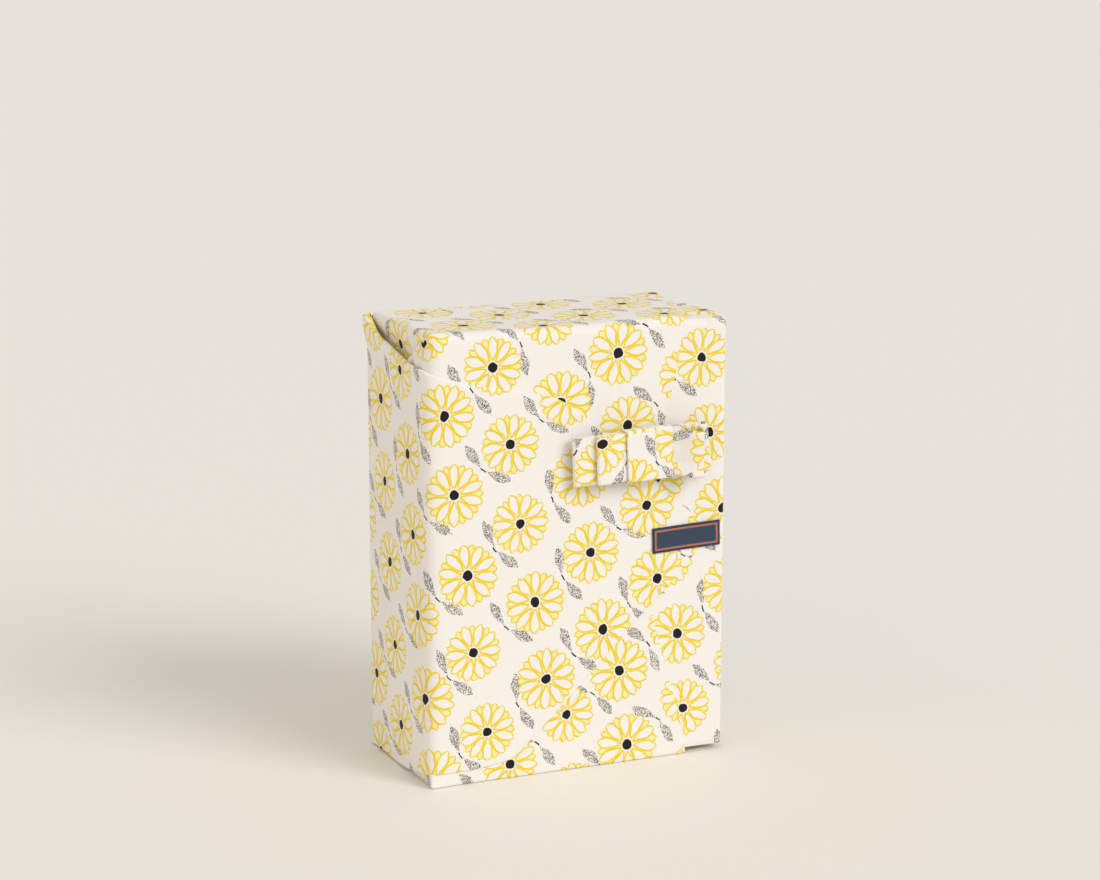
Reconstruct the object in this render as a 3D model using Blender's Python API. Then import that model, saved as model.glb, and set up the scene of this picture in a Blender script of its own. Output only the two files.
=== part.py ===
"""A furoshiki wrap: one square of printed cotton folded round a box-shaped space, with a flat
fabric bow and a woven label on its front. Metres, +Z up, the front faces -Y, and the origin is
the middle of the flat base.

The cloth is a square laid as a diamond. Its right corner is folded in first and lies innermost,
then its top and bottom corners, and its left corner last, over the others. Each corner is a
sheet that leaves the back panel, follows one side of the box-shaped space and lies on the front.
"""

import math

import bpy
import numpy as np

CLOTH = 0.0010
GAP = 0.0003
PITCH = CLOTH + GAP
SINK = 0.00015

# The space that the cloth is folded round, and the radii of its upright and level edges.
SPACE_LEFT, SPACE_RIGHT = -0.0853, 0.0908
SPACE_FRONT, SPACE_BACK = -0.0436, 0.0442
SPACE_FLOOR, SPACE_TOP = 0.0026, 0.2529
CORNER_RADIUS = 0.0024
EDGE_RADIUS = 0.0012
MIDDLE_HEIGHT = (SPACE_FLOOR + SPACE_TOP) / 2

# The cut cloth, and how far each corner reaches over the front.
CLOTH_SIDE = 0.500
HALF_DIAGONAL = CLOTH_SIDE / math.sqrt(2)
LEFT_TIP_X = 0.0843
RIGHT_TIP_X = -0.0826
TIP_HEIGHT = 0.1287
TIP_BLUNT = 0.0020
EDGE_SLOPE = 0.94

# The outer corner's folds: height at the back edge, at the front edge, and slope on the front.
TOP_FOLD = {"back": 0.2524, "front": 0.2353, "slope": -0.22}
BASE_FOLD = {"back": 0.0012, "front": 0.0080, "slope": 0.0}
FOLD_ROUNDING = 0.0060

# The top and bottom corners on the front: where the side fold leaves the box edge, how far it
# leans in for each metre of height, where the tip would come, and where it is cut short.
TOP_FLAP = {"fold_x": 0.0645, "lean": 0.200, "reach": 0.1350, "stop": 0.1180}
BASE_FLAP = {"fold_x": 0.0677, "lean": 0.257, "reach": 0.1350, "stop": 0.1310}
FACE_LEAN = math.tan(math.radians(14.8))

# The pleats on the left side and under the top: slopes of their hidden folds.
GUSSET_SLOPE = math.tan(math.radians(56))
GUSSET_LEAST_HEIGHT = 0.125
TUCK_SLOPE = math.tan(math.radians(59.8))
TUCK_LEFT = -0.066
DART_SLOPE = 0.80
DART_DEPTH = 0.0235

ARC_STEPS = 4

# The bow: two strips, each sewn into a flat loop and stacked, and a band wrapped round both.
STRIP_HEIGHT = 0.0274
BOW_CENTRE_X, BOW_CENTRE_Z = 0.0387, 0.1811
BOW_TILT = math.radians(2.0)
BOW_BACK = 0.0060
BAND_WIDTH = 0.0281
BAND_REACH = 0.0074
RIGHT_OPENING = 0.0026

# One half of each loop seen from its end, in millimetres: along the bow, and out from the cloth.
# The lower loop sits this far to the left of the band's middle.
LOWER_SHIFT = 0.0033
LOWER_LOOP = [
    (0, 1.9), (8, 1.9), (14, 2.0), (20, 2.8), (26, 3.6), (33, 4.0), (38.4, 3.9), (41.3, 2.9),
    (41.5, 1.2), (38.2, 0.1), (31, 0.0), (20, 0.0), (10, 0.0), (0, 0.0),
]
UPPER_LOOP = [
    (0, 5.4), (8, 5.4), (13, 5.6), (18, 7.2), (23, 8.7), (28, 9.2), (31.0, 8.6), (31.9, 7.1),
    (31.0, 5.8), (27, 5.4), (20, 4.7), (14, 3.6), (6, 3.4), (0, 3.4),
]

# The woven label over the outer corner's tip.
LABEL_SIZE = (0.0430, 0.0145)
LABEL_CENTRE_X, LABEL_CENTRE_Z = 0.0657, 0.1290
LABEL_TILT = math.radians(1.4)
LABEL_THICKNESS = 0.0010

# How far the panels belly out of flat, and the pitch of their slight waves.
BELLY = 0.0007
WAVE = 0.0003


def level(layer):
    """Distance from the inner space to the middle of the cloth in this layer, 0 the innermost."""
    return GAP + CLOTH / 2 + layer * PITCH


def ease(t):
    t = np.clip(t, 0, 1)
    return t * t * (3 - 2 * t)


def soft_min(a, b, k):
    """The lower of a and b, with the corner between them rounded over about k."""
    h = np.clip(0.5 + 0.5 * (b - a) / k, 0, 1)
    return b * (1 - h) + a * h - k * h * (1 - h)


def soft_max(a, b, k):
    return -soft_min(-a, -b, k)


class Route:
    """A line round the inner space in one plane: points on its wall, outward directions, and the
    share of each rounded edge passed so far."""

    def __init__(self, radius):
        self.radius = radius
        self.points, self.normals, self.places = [], [], []

    def straight(self, start, end, normal, steps, place):
        for t in np.linspace(0, 1, steps + 1):
            self.points.append(np.array(start) * (1 - t) + np.array(end) * t)
            self.normals.append(np.array(normal, float))
            self.places.append(place)
        return self

    def arc(self, centre, start_deg, end_deg, place, steps=ARC_STEPS):
        for t in np.linspace(0, 1, steps + 1)[1:-1]:
            angle = math.radians(start_deg + (end_deg - start_deg) * t)
            normal = np.array([math.cos(angle), math.sin(angle)])
            self.points.append(np.array(centre) + self.radius * normal)
            self.normals.append(normal)
            self.places.append(place + t)
        return self

    def arrays(self):
        return np.array(self.points), np.array(self.normals), np.array(self.places)


def mesh_of(name, points, faces):
    mesh = bpy.data.meshes.new(name)
    mesh.from_pydata([tuple(p) for p in points], [], [tuple(f) for f in faces])
    mesh.validate()
    mesh.update()
    return mesh


def sheet_mesh(name, middle, outward, thickness=CLOTH):
    """A closed sheet round a grid of points on its middle surface. outward holds the direction
    that its outer side faces at each point."""
    turn = np.cross(np.gradient(middle, axis=0), np.gradient(middle, axis=1))
    side = np.sign((turn * outward).sum())
    outer, inner = middle + outward * thickness / 2, middle - outward * thickness / 2
    rows, columns = middle.shape[:2]
    number = np.arange(rows * columns).reshape(rows, columns)
    quads = np.stack(
        [number[:-1, :-1], number[1:, :-1], number[1:, 1:], number[:-1, 1:]], axis=2
    ).reshape(-1, 4)
    border = np.concatenate([number[:, 0], number[-1, 1:], number[-2::-1, -1], number[0, -2:0:-1]])
    after = np.roll(border, -1)
    total = rows * columns
    rim = np.stack([after, border, border + total, after + total], axis=1)
    faces = np.concatenate([quads, quads[:, ::-1] + total, rim])
    if side < 0:
        faces = faces[:, ::-1]
    points = np.concatenate([outer.reshape(-1, 3), inner.reshape(-1, 3)])
    return mesh_of(name, settled(points), faces)


def add_object(name, mesh, helper=False):
    made = bpy.data.objects.new(name, mesh)
    bpy.context.scene.collection.objects.link(made)
    if helper:
        made.hide_render = True
        made.display_type = "WIRE"
    return made


def settled(points):
    """Points moved a little, as the packed cloth bellies and waves on each face. Every layer
    moves alike, so that none of them meets another, and the base stays flat."""
    x, y, z = points[..., 0], points[..., 1], points[..., 2]
    height = z / 0.255
    upright = ease(height / 0.12) * np.sin(math.pi * np.clip(height, 0, 1)) ** 0.5
    across = np.cos(math.pi * np.clip(x / 0.19, -0.5, 0.5))
    deep = np.cos(math.pi * np.clip(y / 0.10, -0.5, 0.5))
    moved = points.copy()
    ripple = np.sin(38 * x + 9 * z + 1.1) * np.sin(21 * z - 14 * x + 0.4)
    moved[..., 1] += upright * across * (BELLY + WAVE * ripple) * np.tanh(y / 0.02)
    moved[..., 0] += upright * deep * (0.8 * BELLY + WAVE * np.sin(45 * y + 17 * z)) * np.tanh(x / 0.04)
    moved[..., 2] -= ease((height - 0.5) / 0.5) * across * deep * BELLY
    return moved


def smooth_outline(half, steps=3):
    """The closed outline of a loop, in metres: one half from a table, the other its mirror image,
    and a smooth curve through them all."""
    half = np.array(half, float) / 1000
    mirror = half[-2:0:-1] * [-1, 1]
    ring = np.concatenate([half, mirror])
    before, after, later = np.roll(ring, 1, axis=0), np.roll(ring, -1, axis=0), np.roll(ring, -2, axis=0)
    t = np.arange(steps)[:, None, None] / steps
    curve = 0.5 * (
        2 * ring + (after - before) * t + (2 * before - 5 * ring + 4 * after - later) * t**2
        + (3 * ring - before - 3 * after + later) * t**3
    )
    return curve.transpose(1, 0, 2).reshape(-1, 2)


def tube_mesh(name, outline, rows, place, thickness=CLOTH):
    """A closed band of cloth: an outline carried along rows. place(u, v, row) gives the point."""
    tangent = np.roll(outline, -1, axis=0) - np.roll(outline, 1, axis=0)
    tangent /= np.linalg.norm(tangent, axis=1, keepdims=True)
    away = np.stack([tangent[:, 1], -tangent[:, 0]], axis=1)
    area = (outline[:, 0] * np.roll(outline[:, 1], -1) - outline[:, 1] * np.roll(outline[:, 0], -1)).sum()
    away *= np.sign(area)
    rings = []
    for side in (0.5, -0.5):
        curve = outline + away * thickness * side
        rings.append(np.array([[place(u, v, row) for u, v in curve] for row in rows]))
    count, total = len(outline), len(outline) * len(rows)
    number = np.arange(total).reshape(len(rows), count)
    after = np.roll(number, -1, axis=1)
    quads = np.stack([number[:-1], after[:-1], after[1:], number[1:]], axis=2).reshape(-1, 4)
    first = np.stack([number[0], number[0] + total, after[0] + total, after[0]], axis=1)
    last = np.stack([number[-1], after[-1], after[-1] + total, number[-1] + total], axis=1)
    faces = np.concatenate([quads, quads[:, ::-1] + total, first, last])
    points = np.concatenate([ring.reshape(-1, 3) for ring in rings])
    corner = points[faces[:, :3]]
    if np.linalg.det(corner).sum() + np.linalg.det(points[faces[:, [0, 2, 3]]]).sum() < 0:
        faces = faces[:, ::-1]
    return mesh_of(name, settled(points), faces)


def on_front(along, up, out, centre_x, centre_z, tilt):
    """A point of the bow or label: along it, up it and out from the innermost cloth's front."""
    x = centre_x + along * math.cos(tilt) - up * math.sin(tilt)
    z = centre_z + along * math.sin(tilt) + up * math.cos(tilt)
    return (x, SPACE_FRONT - out, z)


def cloth_material(name, colour, roughness):
    made = bpy.data.materials.new(name)
    made.use_nodes = True
    shader = made.node_tree.nodes["Principled BSDF"]
    shader.inputs["Base Color"].default_value = (*colour, 1)
    shader.inputs["Roughness"].default_value = roughness
    shader.inputs["Metallic"].default_value = 0
    return made


def mirrored(grid):
    """The same grid upside down about the middle height, for the lower half of the wrap."""
    turned = grid.copy()
    turned[..., 2] = 2 * MIDDLE_HEIGHT - turned[..., 2]
    return turned


def side_share(y):
    """0 at the back edge of the left side, 1 at its front edge."""
    return np.clip((SPACE_BACK - y) / (SPACE_BACK - SPACE_FRONT), 0, 1)


def fold_height(fold, x, y):
    on_side = fold["back"] + (fold["front"] - fold["back"]) * side_share(y)
    return on_side + fold["slope"] * np.maximum(x - SPACE_LEFT, 0)


def outer_top(x, y):
    raw_edge = TIP_HEIGHT + TIP_BLUNT + EDGE_SLOPE * (LEFT_TIP_X - x)
    return soft_min(fold_height(TOP_FOLD, x, y), raw_edge, FOLD_ROUNDING)


def outer_base(x, y):
    raw_edge = TIP_HEIGHT - TIP_BLUNT - EDGE_SLOPE * (LEFT_TIP_X - x)
    return soft_max(fold_height(BASE_FOLD, x, y), raw_edge, FOLD_ROUNDING)


def fold_end(fold, upper):
    """Where, along the front, the outer corner's fold gives way to the cloth's own edge."""
    slope = EDGE_SLOPE if upper else -EDGE_SLOPE
    rise = TIP_HEIGHT - fold["front"] + slope * LEFT_TIP_X + fold["slope"] * SPACE_LEFT
    return rise / (slope + fold["slope"])


def outer_layer(x, z):
    """The outer corner's layer: over its own turned-in folds at the left, sinking towards the tip."""
    low, high = fold_end(BASE_FOLD, False), fold_end(TOP_FOLD, True)
    line = low + (z - BASE_FOLD["front"]) * (high - low) / (TOP_FOLD["front"] - BASE_FOLD["front"])
    return 3 - ease((x - line) / 0.025)


def belt_route():
    """Plan of the belt of cloth from the right corner's tip, round the back, to the left one's."""
    left, right = SPACE_LEFT + CORNER_RADIUS, SPACE_RIGHT - CORNER_RADIUS
    front, back = SPACE_FRONT + CORNER_RADIUS, SPACE_BACK - CORNER_RADIUS
    route = Route(CORNER_RADIUS)
    route.straight((RIGHT_TIP_X, SPACE_FRONT), (right, SPACE_FRONT), (0, -1), 8, 0)
    route.arc((right, front), -90, 0, 0)
    route.straight((SPACE_RIGHT, front), (SPACE_RIGHT, back), (1, 0), 3, 1)
    route.arc((right, back), 0, 90, 1)
    route.straight((right, SPACE_BACK), (left, SPACE_BACK), (0, 1), 5, 2)
    route.arc((left, back), 90, 180, 2)
    route.straight((SPACE_LEFT, back), (SPACE_LEFT, front), (-1, 0), 6, 3)
    route.arc((left, front), 180, 270, 3, steps=6)
    route.straight((left, SPACE_FRONT), (LEFT_TIP_X, SPACE_FRONT), (0, -1), 19, 4)
    return route.arrays()


def belt():
    """The back panel with the right corner, folded in first, and the left one, folded in last."""
    points, normals, places = belt_route()
    rows = np.linspace(0, 1, 15)
    middle = np.zeros((len(points), len(rows), 3))
    outward = np.zeros_like(middle)
    for i, (point, normal, place) in enumerate(zip(points, normals, places)):
        x, y = point
        if place < 1:
            reach = TIP_BLUNT + EDGE_SLOPE * (x - RIGHT_TIP_X)
            top = min(MIDDLE_HEIGHT + reach, SPACE_TOP - EDGE_RADIUS)
            base = max(MIDDLE_HEIGHT - reach, SPACE_FLOOR + EDGE_RADIUS)
        elif place <= 2:
            top, base = SPACE_TOP - EDGE_RADIUS, SPACE_FLOOR + EDGE_RADIUS
        elif place < 3:
            turn = place - 2
            top = (SPACE_TOP - EDGE_RADIUS) * (1 - turn) + TOP_FOLD["back"] * turn
            base = (SPACE_FLOOR + EDGE_RADIUS) * (1 - turn) + BASE_FOLD["back"] * turn
        else:
            top, base = outer_top(x, y), outer_base(x, y)
        z = base + (top - base) * rows
        layer = np.where(place <= 2, 0, np.where(place < 3, 3 * (place - 2), outer_layer(x, z)))
        middle[i, :, :2] = point + normal * level(layer)[:, None]
        middle[i, :, 2] = z
        outward[i, :, :2] = normal
    return middle, outward


def turned_in(fold, upper):
    """The cloth of the outer corner that its upper or lower fold turns in behind it: a strip that
    starts on the outer layer, goes round the fold and comes back one layer further in."""
    points, normals, places = belt_route()
    keep = (places >= 3) & ((places < 4) | (points[:, 0] < fold_end(fold, upper) - 0.004))
    points, normals = points[keep], normals[keep]
    points, normals = points[1:], normals[1:]
    travel = np.concatenate([[0], np.cumsum(np.linalg.norm(np.diff(points, axis=0), axis=1))])
    left = travel[-1] + 0.006 - travel
    width = np.minimum(1.1 * travel + 0.006, 0.60 * left + 0.002)
    sign = 1 if upper else -1
    middle = np.zeros((len(points), 12, 3))
    outward = np.zeros_like(middle)
    for i, (point, normal) in enumerate(zip(points, normals)):
        edge = outer_top(*point) if upper else outer_base(*point)
        bend = np.linspace(0, math.pi, 6)
        off = np.concatenate([
            [level(3) - SINK],
            (level(3) + level(2)) / 2 + (PITCH / 2) * np.cos(bend) - SINK * (1 - bend / math.pi),
            np.full(5, level(2)),
        ])
        back = np.concatenate([
            [0.0030],
            -(PITCH / 2) * np.sin(bend) * 0.9 + 0.0004,
            0.0004 + width[i] * np.linspace(0.2, 1, 5),
        ])
        middle[i, :, :2] = point + normal * off[:, None]
        middle[i, :, 2] = edge - sign * back
        outward[i, :, :2] = normal * np.cos(np.concatenate([[0], bend, np.full(5, math.pi)]))[:, None]
        outward[i, :, 2] = sign * np.sin(np.concatenate([[0], bend, np.zeros(5)]))
    return middle, outward


def flap(flap_sizes):
    """The top corner of the cloth: from the back panel, over the top and down the front."""
    left, front, back = SPACE_LEFT + EDGE_RADIUS, SPACE_FRONT + EDGE_RADIUS, SPACE_BACK - EDGE_RADIUS
    under_top = SPACE_TOP - EDGE_RADIUS
    route = Route(EDGE_RADIUS)
    route.straight((SPACE_BACK, under_top - 0.004), (SPACE_BACK, under_top), (1, 0), 1, 0)
    route.arc((back, under_top), 0, 90, 0)
    route.straight((back, SPACE_TOP), (front, SPACE_TOP), (0, 1), 6, 1)
    route.arc((front, under_top), 90, 180, 1)
    route.straight(
        (SPACE_FRONT, under_top), (SPACE_FRONT, SPACE_TOP - flap_sizes["stop"]), (-1, 0), 12, 2
    )
    points, normals, places = route.arrays()
    rows = np.linspace(0, 1, 12)
    middle = np.zeros((len(points), len(rows), 3))
    outward = np.zeros_like(middle)
    for i, (point, normal, place) in enumerate(zip(points, normals, places)):
        fallen = np.clip(SPACE_TOP - point[1], 0, None) if place >= 1.5 else 0
        fold = flap_sizes["fold_x"] - flap_sizes["lean"] * fallen
        if place < 1.5:
            fold += FACE_LEAN * (np.clip(point[0], front, back) - front)
        raw = flap_sizes["reach"] - fallen
        x_right = min(fold, raw)
        x_left = max(left + 0.001, -raw)
        layer = min(place, 1)
        x = x_left + (x_right - x_left) * rows
        off = level(layer) - (SINK if place == 0 else 0)
        middle[i, :, 0] = x
        middle[i, :, 1:] = point + normal * off
        outward[i, :, 1:] = normal
    return middle, outward


def gusset():
    """Cloth that runs from the top over the left edge and down inside the outer corner's pocket,
    with the rounded front corner of the space under it."""
    left, front = SPACE_LEFT + CORNER_RADIUS, SPACE_FRONT + CORNER_RADIUS
    back = SPACE_BACK - CORNER_RADIUS
    route = Route(CORNER_RADIUS)
    route.straight((left + 0.004, SPACE_BACK), (left, SPACE_BACK), (0, 1), 1, 0)
    route.arc((left, back), 90, 180, 0)
    route.straight((SPACE_LEFT, back), (SPACE_LEFT, front), (-1, 0), 7, 1)
    route.arc((left, front), 180, 270, 1)
    route.straight((left, SPACE_FRONT), (left + 0.003, SPACE_FRONT), (0, -1), 1, 2)
    points, normals, places = route.arrays()
    under_top = SPACE_TOP - EDGE_RADIUS
    bend = np.linspace(0, math.pi / 2, ARC_STEPS + 1)
    count = 6 + len(bend) + 1
    middle = np.zeros((len(points), count, 3))
    outward = np.zeros_like(middle)
    for i, (point, normal, place) in enumerate(zip(points, normals, places)):
        passed = max(back - point[1], 0.003)
        base = max(under_top - GUSSET_SLOPE * passed, GUSSET_LEAST_HEIGHT)
        if place > 1:
            base = SPACE_TOP - 0.040
        centre = point - normal * EDGE_RADIUS
        layer = np.concatenate([np.zeros(6), bend / (math.pi / 2), [1]])
        off = level(layer) - 1.5 * SINK
        lean = np.concatenate([np.zeros(6), bend, [math.pi / 2]])
        out = EDGE_RADIUS + off
        middle[i, :, :2] = centre + normal * (np.cos(lean) * out)[:, None]
        middle[i, -1, :2] = centre - normal * 0.0010
        middle[i, :, 2] = under_top + np.sin(lean) * out
        middle[i, :6, 2] = base + (under_top - base) * np.linspace(0, 0.96, 6)
        outward[i, :, :2] = normal * np.cos(lean)[:, None]
        outward[i, :, 2] = np.sin(lean)
    return middle, outward


def dart(flap_sizes):
    """The corner of cloth that the top flap turns round the front left edge on to the side."""
    left, front = SPACE_LEFT + CORNER_RADIUS, SPACE_FRONT + CORNER_RADIUS
    route = Route(CORNER_RADIUS)
    route.straight((left + 0.005, SPACE_FRONT), (left, SPACE_FRONT), (0, -1), 1, 0)
    route.arc((left, front), 270, 180, 0)
    route.straight((SPACE_LEFT, front), (SPACE_LEFT, front + DART_DEPTH), (-1, 0), 5, 1)
    points, normals, places = route.arrays()
    rows = np.linspace(0, 1, 5)
    middle = np.zeros((len(points), len(rows), 3))
    outward = np.zeros_like(middle)
    for i, (point, normal) in enumerate(zip(points, normals)):
        round_corner = max(point[1] - front, 0)
        top = SPACE_TOP - EDGE_RADIUS - 0.0005 - DART_SLOPE * round_corner
        base = SPACE_TOP - flap_sizes["reach"] - SPACE_LEFT + round_corner
        z = base + (top - base) * rows
        middle[i, :, :2] = point + normal * (level(1) + SINK)
        middle[i, :, 2] = z
        outward[i, :, :2] = normal
    return middle, outward


def tuck_plate():
    """The right corner's cloth where it lies on the top, under the top flap's fold."""
    back = SPACE_BACK - EDGE_RADIUS - 0.001
    front = SPACE_FRONT + EDGE_RADIUS
    columns = np.linspace(0, 1, 7)
    rows = np.linspace(0, 1, 6)
    middle = np.zeros((len(columns), len(rows), 3))
    outward = np.zeros_like(middle)
    for i, share in enumerate(columns):
        y = back + (front - back) * share
        x_left = max(SPACE_RIGHT - TUCK_SLOPE * (back - y) - 0.010, TUCK_LEFT)
        x_right = SPACE_RIGHT - EDGE_RADIUS
        middle[i, :, 0] = x_left + (x_right - x_left) * rows
        middle[i, :, 1] = y
        middle[i, :, 2] = SPACE_TOP + level(0)
        outward[i, :, 2] = 1
    return middle, outward


def tuck_rim():
    """The rounded edge where the right corner's cloth goes from the side and front to the top."""
    right = SPACE_RIGHT - CORNER_RADIUS
    front, back = SPACE_FRONT + CORNER_RADIUS, SPACE_BACK - CORNER_RADIUS
    route = Route(CORNER_RADIUS)
    route.straight((0.045, SPACE_FRONT), (right, SPACE_FRONT), (0, -1), 2, 0)
    route.arc((right, front), -90, 0, 0)
    route.straight((SPACE_RIGHT, front), (SPACE_RIGHT, back), (1, 0), 3, 1)
    route.arc((right, back), 0, 90, 1)
    route.straight((right, SPACE_BACK), (right - 0.003, SPACE_BACK), (0, 1), 1, 2)
    points, normals, places = route.arrays()
    bend = np.linspace(0, math.pi / 2, ARC_STEPS + 1)
    lean = np.concatenate([[0], bend, [math.pi / 2]])
    out = EDGE_RADIUS + level(0) - 2 * SINK
    under_top = SPACE_TOP - EDGE_RADIUS
    middle = np.zeros((len(points), len(lean), 3))
    outward = np.zeros_like(middle)
    for i, (point, normal) in enumerate(zip(points, normals)):
        centre = point - normal * EDGE_RADIUS
        middle[i, :, :2] = centre + normal * (np.cos(lean) * out)[:, None]
        middle[i, :, 2] = under_top + np.sin(lean) * out
        middle[i, 0, 2] -= 0.004
        middle[i, -1, :2] = centre - normal * 0.0010
        outward[i, :, :2] = normal * np.cos(lean)[:, None]
        outward[i, :, 2] = np.sin(lean)
    return middle, outward


def build_wrap(material):
    """All sheets of the one square of cloth, joined where they are one piece in the real wrap."""
    wrap = add_object("wrap_cloth", sheet_mesh("wrap_cloth", *belt()))
    wrap.data.materials.append(material)
    upper = {
        "top_flap": flap(TOP_FLAP),
        "top_gusset": gusset(),
        "top_dart": dart(TOP_FLAP),
        "top_tuck": tuck_plate(),
        "top_rim": tuck_rim(),
    }
    lower = {
        "base_flap": flap(BASE_FLAP),
        "base_gusset": gusset(),
        "base_dart": dart(BASE_FLAP),
        "base_tuck": tuck_plate(),
        "base_rim": tuck_rim(),
    }
    sheets = dict(upper)
    for name, (middle, outward) in lower.items():
        turned = outward.copy()
        turned[..., 2] *= -1
        sheets[name] = (mirrored(middle), turned)
    sheets["top_fold"] = turned_in(TOP_FOLD, True)
    sheets["base_fold"] = turned_in(BASE_FOLD, False)
    for name, (middle, outward) in sheets.items():
        sheet = add_object(name, sheet_mesh(name, middle, outward), helper=True)
        join = wrap.modifiers.new(name, "BOOLEAN")
        join.operation = "UNION"
        join.solver = "MANIFOLD"
        join.object = sheet
    return wrap


def build_bow(material):
    """Two loops of doubled strip, the longer below, and the band that holds their middles."""
    rows = np.linspace(-STRIP_HEIGHT / 2, STRIP_HEIGHT / 2, 7)

    for name, half, shift in (
        ("bow_lower_loop", LOWER_LOOP, LOWER_SHIFT),
        ("bow_upper_loop", UPPER_LOOP, 0),
    ):
        def in_loop(along, out, up):
            along = along - shift
            open_top = RIGHT_OPENING * ease((along - 0.012) / 0.014) * ease((out - 0.0045) / 0.003)
            out = out + open_top * (up / STRIP_HEIGHT + 0.5)
            return on_front(along, up, BOW_BACK + out, BOW_CENTRE_X, BOW_CENTRE_Z, BOW_TILT)

        loop = add_object(name, tube_mesh(name, smooth_outline(half), rows, in_loop))
        loop.data.materials.append(material)

    front, back = BAND_REACH, -0.0013
    top = STRIP_HEIGHT / 2 + 0.0009
    half_band = [
        (0, 1000 * front), (1000 * top - 4, 1000 * front), (1000 * top - 0.6, 1000 * front - 0.5),
        (1000 * top, 1000 * front - 2), (1000 * top, 1000 * back + 2),
        (1000 * top - 0.6, 1000 * back + 0.3), (1000 * top - 4, 1000 * back), (0, 1000 * back),
    ]
    rows = np.linspace(-BAND_WIDTH / 2, BAND_WIDTH / 2, 7)

    def in_band(up, out, along):
        return on_front(along, up, BOW_BACK + out, BOW_CENTRE_X, BOW_CENTRE_Z, BOW_TILT)

    band = add_object("bow_band", tube_mesh("bow_band", smooth_outline(half_band), rows, in_band))
    band.data.materials.append(material)


def build_label(material):
    columns = np.linspace(-LABEL_SIZE[0] / 2, LABEL_SIZE[0] / 2, 7)
    rows = np.linspace(-LABEL_SIZE[1] / 2, LABEL_SIZE[1] / 2, 4)
    out = level(2) + CLOTH / 2 + GAP + LABEL_THICKNESS / 2
    middle = np.array([
        [on_front(along, up, out, LABEL_CENTRE_X, LABEL_CENTRE_Z, LABEL_TILT) for up in rows]
        for along in columns
    ])
    outward = np.zeros_like(middle)
    outward[..., 1] = -1
    label = add_object("label", sheet_mesh("label", middle, outward, LABEL_THICKNESS))
    label.data.materials.append(material)


def main():
    for old in list(bpy.data.objects):
        bpy.data.objects.remove(old)
    cotton = cloth_material("printed cotton", (0.86, 0.82, 0.70), 0.85)
    build_wrap(cotton)
    build_bow(cotton)
    build_label(cloth_material("navy woven label", (0.022, 0.048, 0.085), 0.7))


main()
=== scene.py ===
import math

import bmesh
import bpy
import numpy as np
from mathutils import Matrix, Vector


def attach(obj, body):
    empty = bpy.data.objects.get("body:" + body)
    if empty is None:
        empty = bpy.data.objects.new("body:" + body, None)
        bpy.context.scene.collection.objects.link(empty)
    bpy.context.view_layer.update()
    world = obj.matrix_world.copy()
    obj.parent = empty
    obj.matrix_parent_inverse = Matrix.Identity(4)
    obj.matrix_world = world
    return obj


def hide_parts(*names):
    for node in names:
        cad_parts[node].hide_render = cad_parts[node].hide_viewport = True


# Lengths are in metres. The front faces -Y, and the base is at z = 0.
height = 0.2556
clothThickness = 0.00045
quarter = math.pi / 2  # a quarter turn


def smoothStep(t):
    t = np.clip(t, 0, 1)
    return t * t * (3 - 2 * t)


# An sRGB hex colour as linear RGBA.
def toLinear(code):
    c = np.array([int(code[i : i + 2], 16) for i in (1, 3, 5)]) / 255
    linear = np.where(c <= 0.04045, c / 12.92, ((c + 0.055) / 1.055) ** 2.4)
    return (*[float(v) for v in linear], 1.0)


# Values at q from a table of (place, value), with its corners rounded over about soft.
def curveThrough(table, q, soft=0.004):
    places, values = np.array(table).T
    near = np.linspace(-soft, soft, 7)
    return np.mean([np.interp(q + step, places, values) for step in near], axis=0)


# Smooth unevenness between about -1 and 1: the sum of a few crossed sine waves.
def waves(a, b, seed):
    made = np.zeros(np.broadcast(a, b).shape)
    for k in range(5):
        angle = seed * 1.7 + k * 2.399
        pitch = 0.055 / (1 + 0.55 * k)
        phase = (a * math.cos(angle) + b * math.sin(angle)) * 2 * math.pi / pitch
        made += np.sin(phase + seed * 3.1 + k) / (1 + 0.6 * k)
    return made / 2.4


# Distance along a line of points, from its start.
def distances(a, b):
    return np.concatenate([[0], np.cumsum(np.hypot(np.diff(a), np.diff(b)))])


# One smooth mesh from sheets, with their flat places as its UV map. A sheet is two grids, its points
# and flat, the same points' places on the cut square of cloth.
def gridMesh(name, sheets, thickness):
    points, faces, flats, start = [], [], [], 0
    for grid, flat in sheets:
        rows, columns = grid.shape[:2]
        number = np.arange(rows * columns).reshape(rows, columns) + start
        quads = np.stack([number[:-1, :-1], number[1:, :-1], number[1:, 1:], number[:-1, 1:]], axis=2)
        points.append(grid.reshape(-1, 3))
        flats.append(flat.reshape(-1, 2))
        faces.append(quads.reshape(-1, 4))
        start += rows * columns
    points, faces, flats = np.concatenate(points), np.concatenate(faces), np.concatenate(flats)
    mesh = bpy.data.meshes.new(name)
    mesh.from_pydata(points.tolist(), [], faces.tolist())
    layer = mesh.uv_layers.new(name="cloth")
    loops = np.zeros(len(mesh.loops), np.int32)
    mesh.loops.foreach_get("vertex_index", loops)
    layer.data.foreach_set("uv", flats[loops].ravel().astype(np.float32))
    weld = 1e-6
    work = bmesh.new()
    work.from_mesh(mesh)
    bmesh.ops.remove_doubles(work, verts=work.verts, dist=weld)
    bmesh.ops.dissolve_degenerate(work, edges=work.edges, dist=weld)
    bmesh.ops.recalc_face_normals(work, faces=work.faces)
    work.to_mesh(mesh)
    work.free()
    mesh.polygons.foreach_set("use_smooth", [True] * len(mesh.polygons))
    made = bpy.data.objects.new(name, mesh)
    bpy.context.scene.collection.objects.link(made)
    thick = made.modifiers.new("cloth thickness", "SOLIDIFY")
    thick.thickness = thickness
    thick.offset = 0
    thick.use_even_offset = False
    return made


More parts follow.
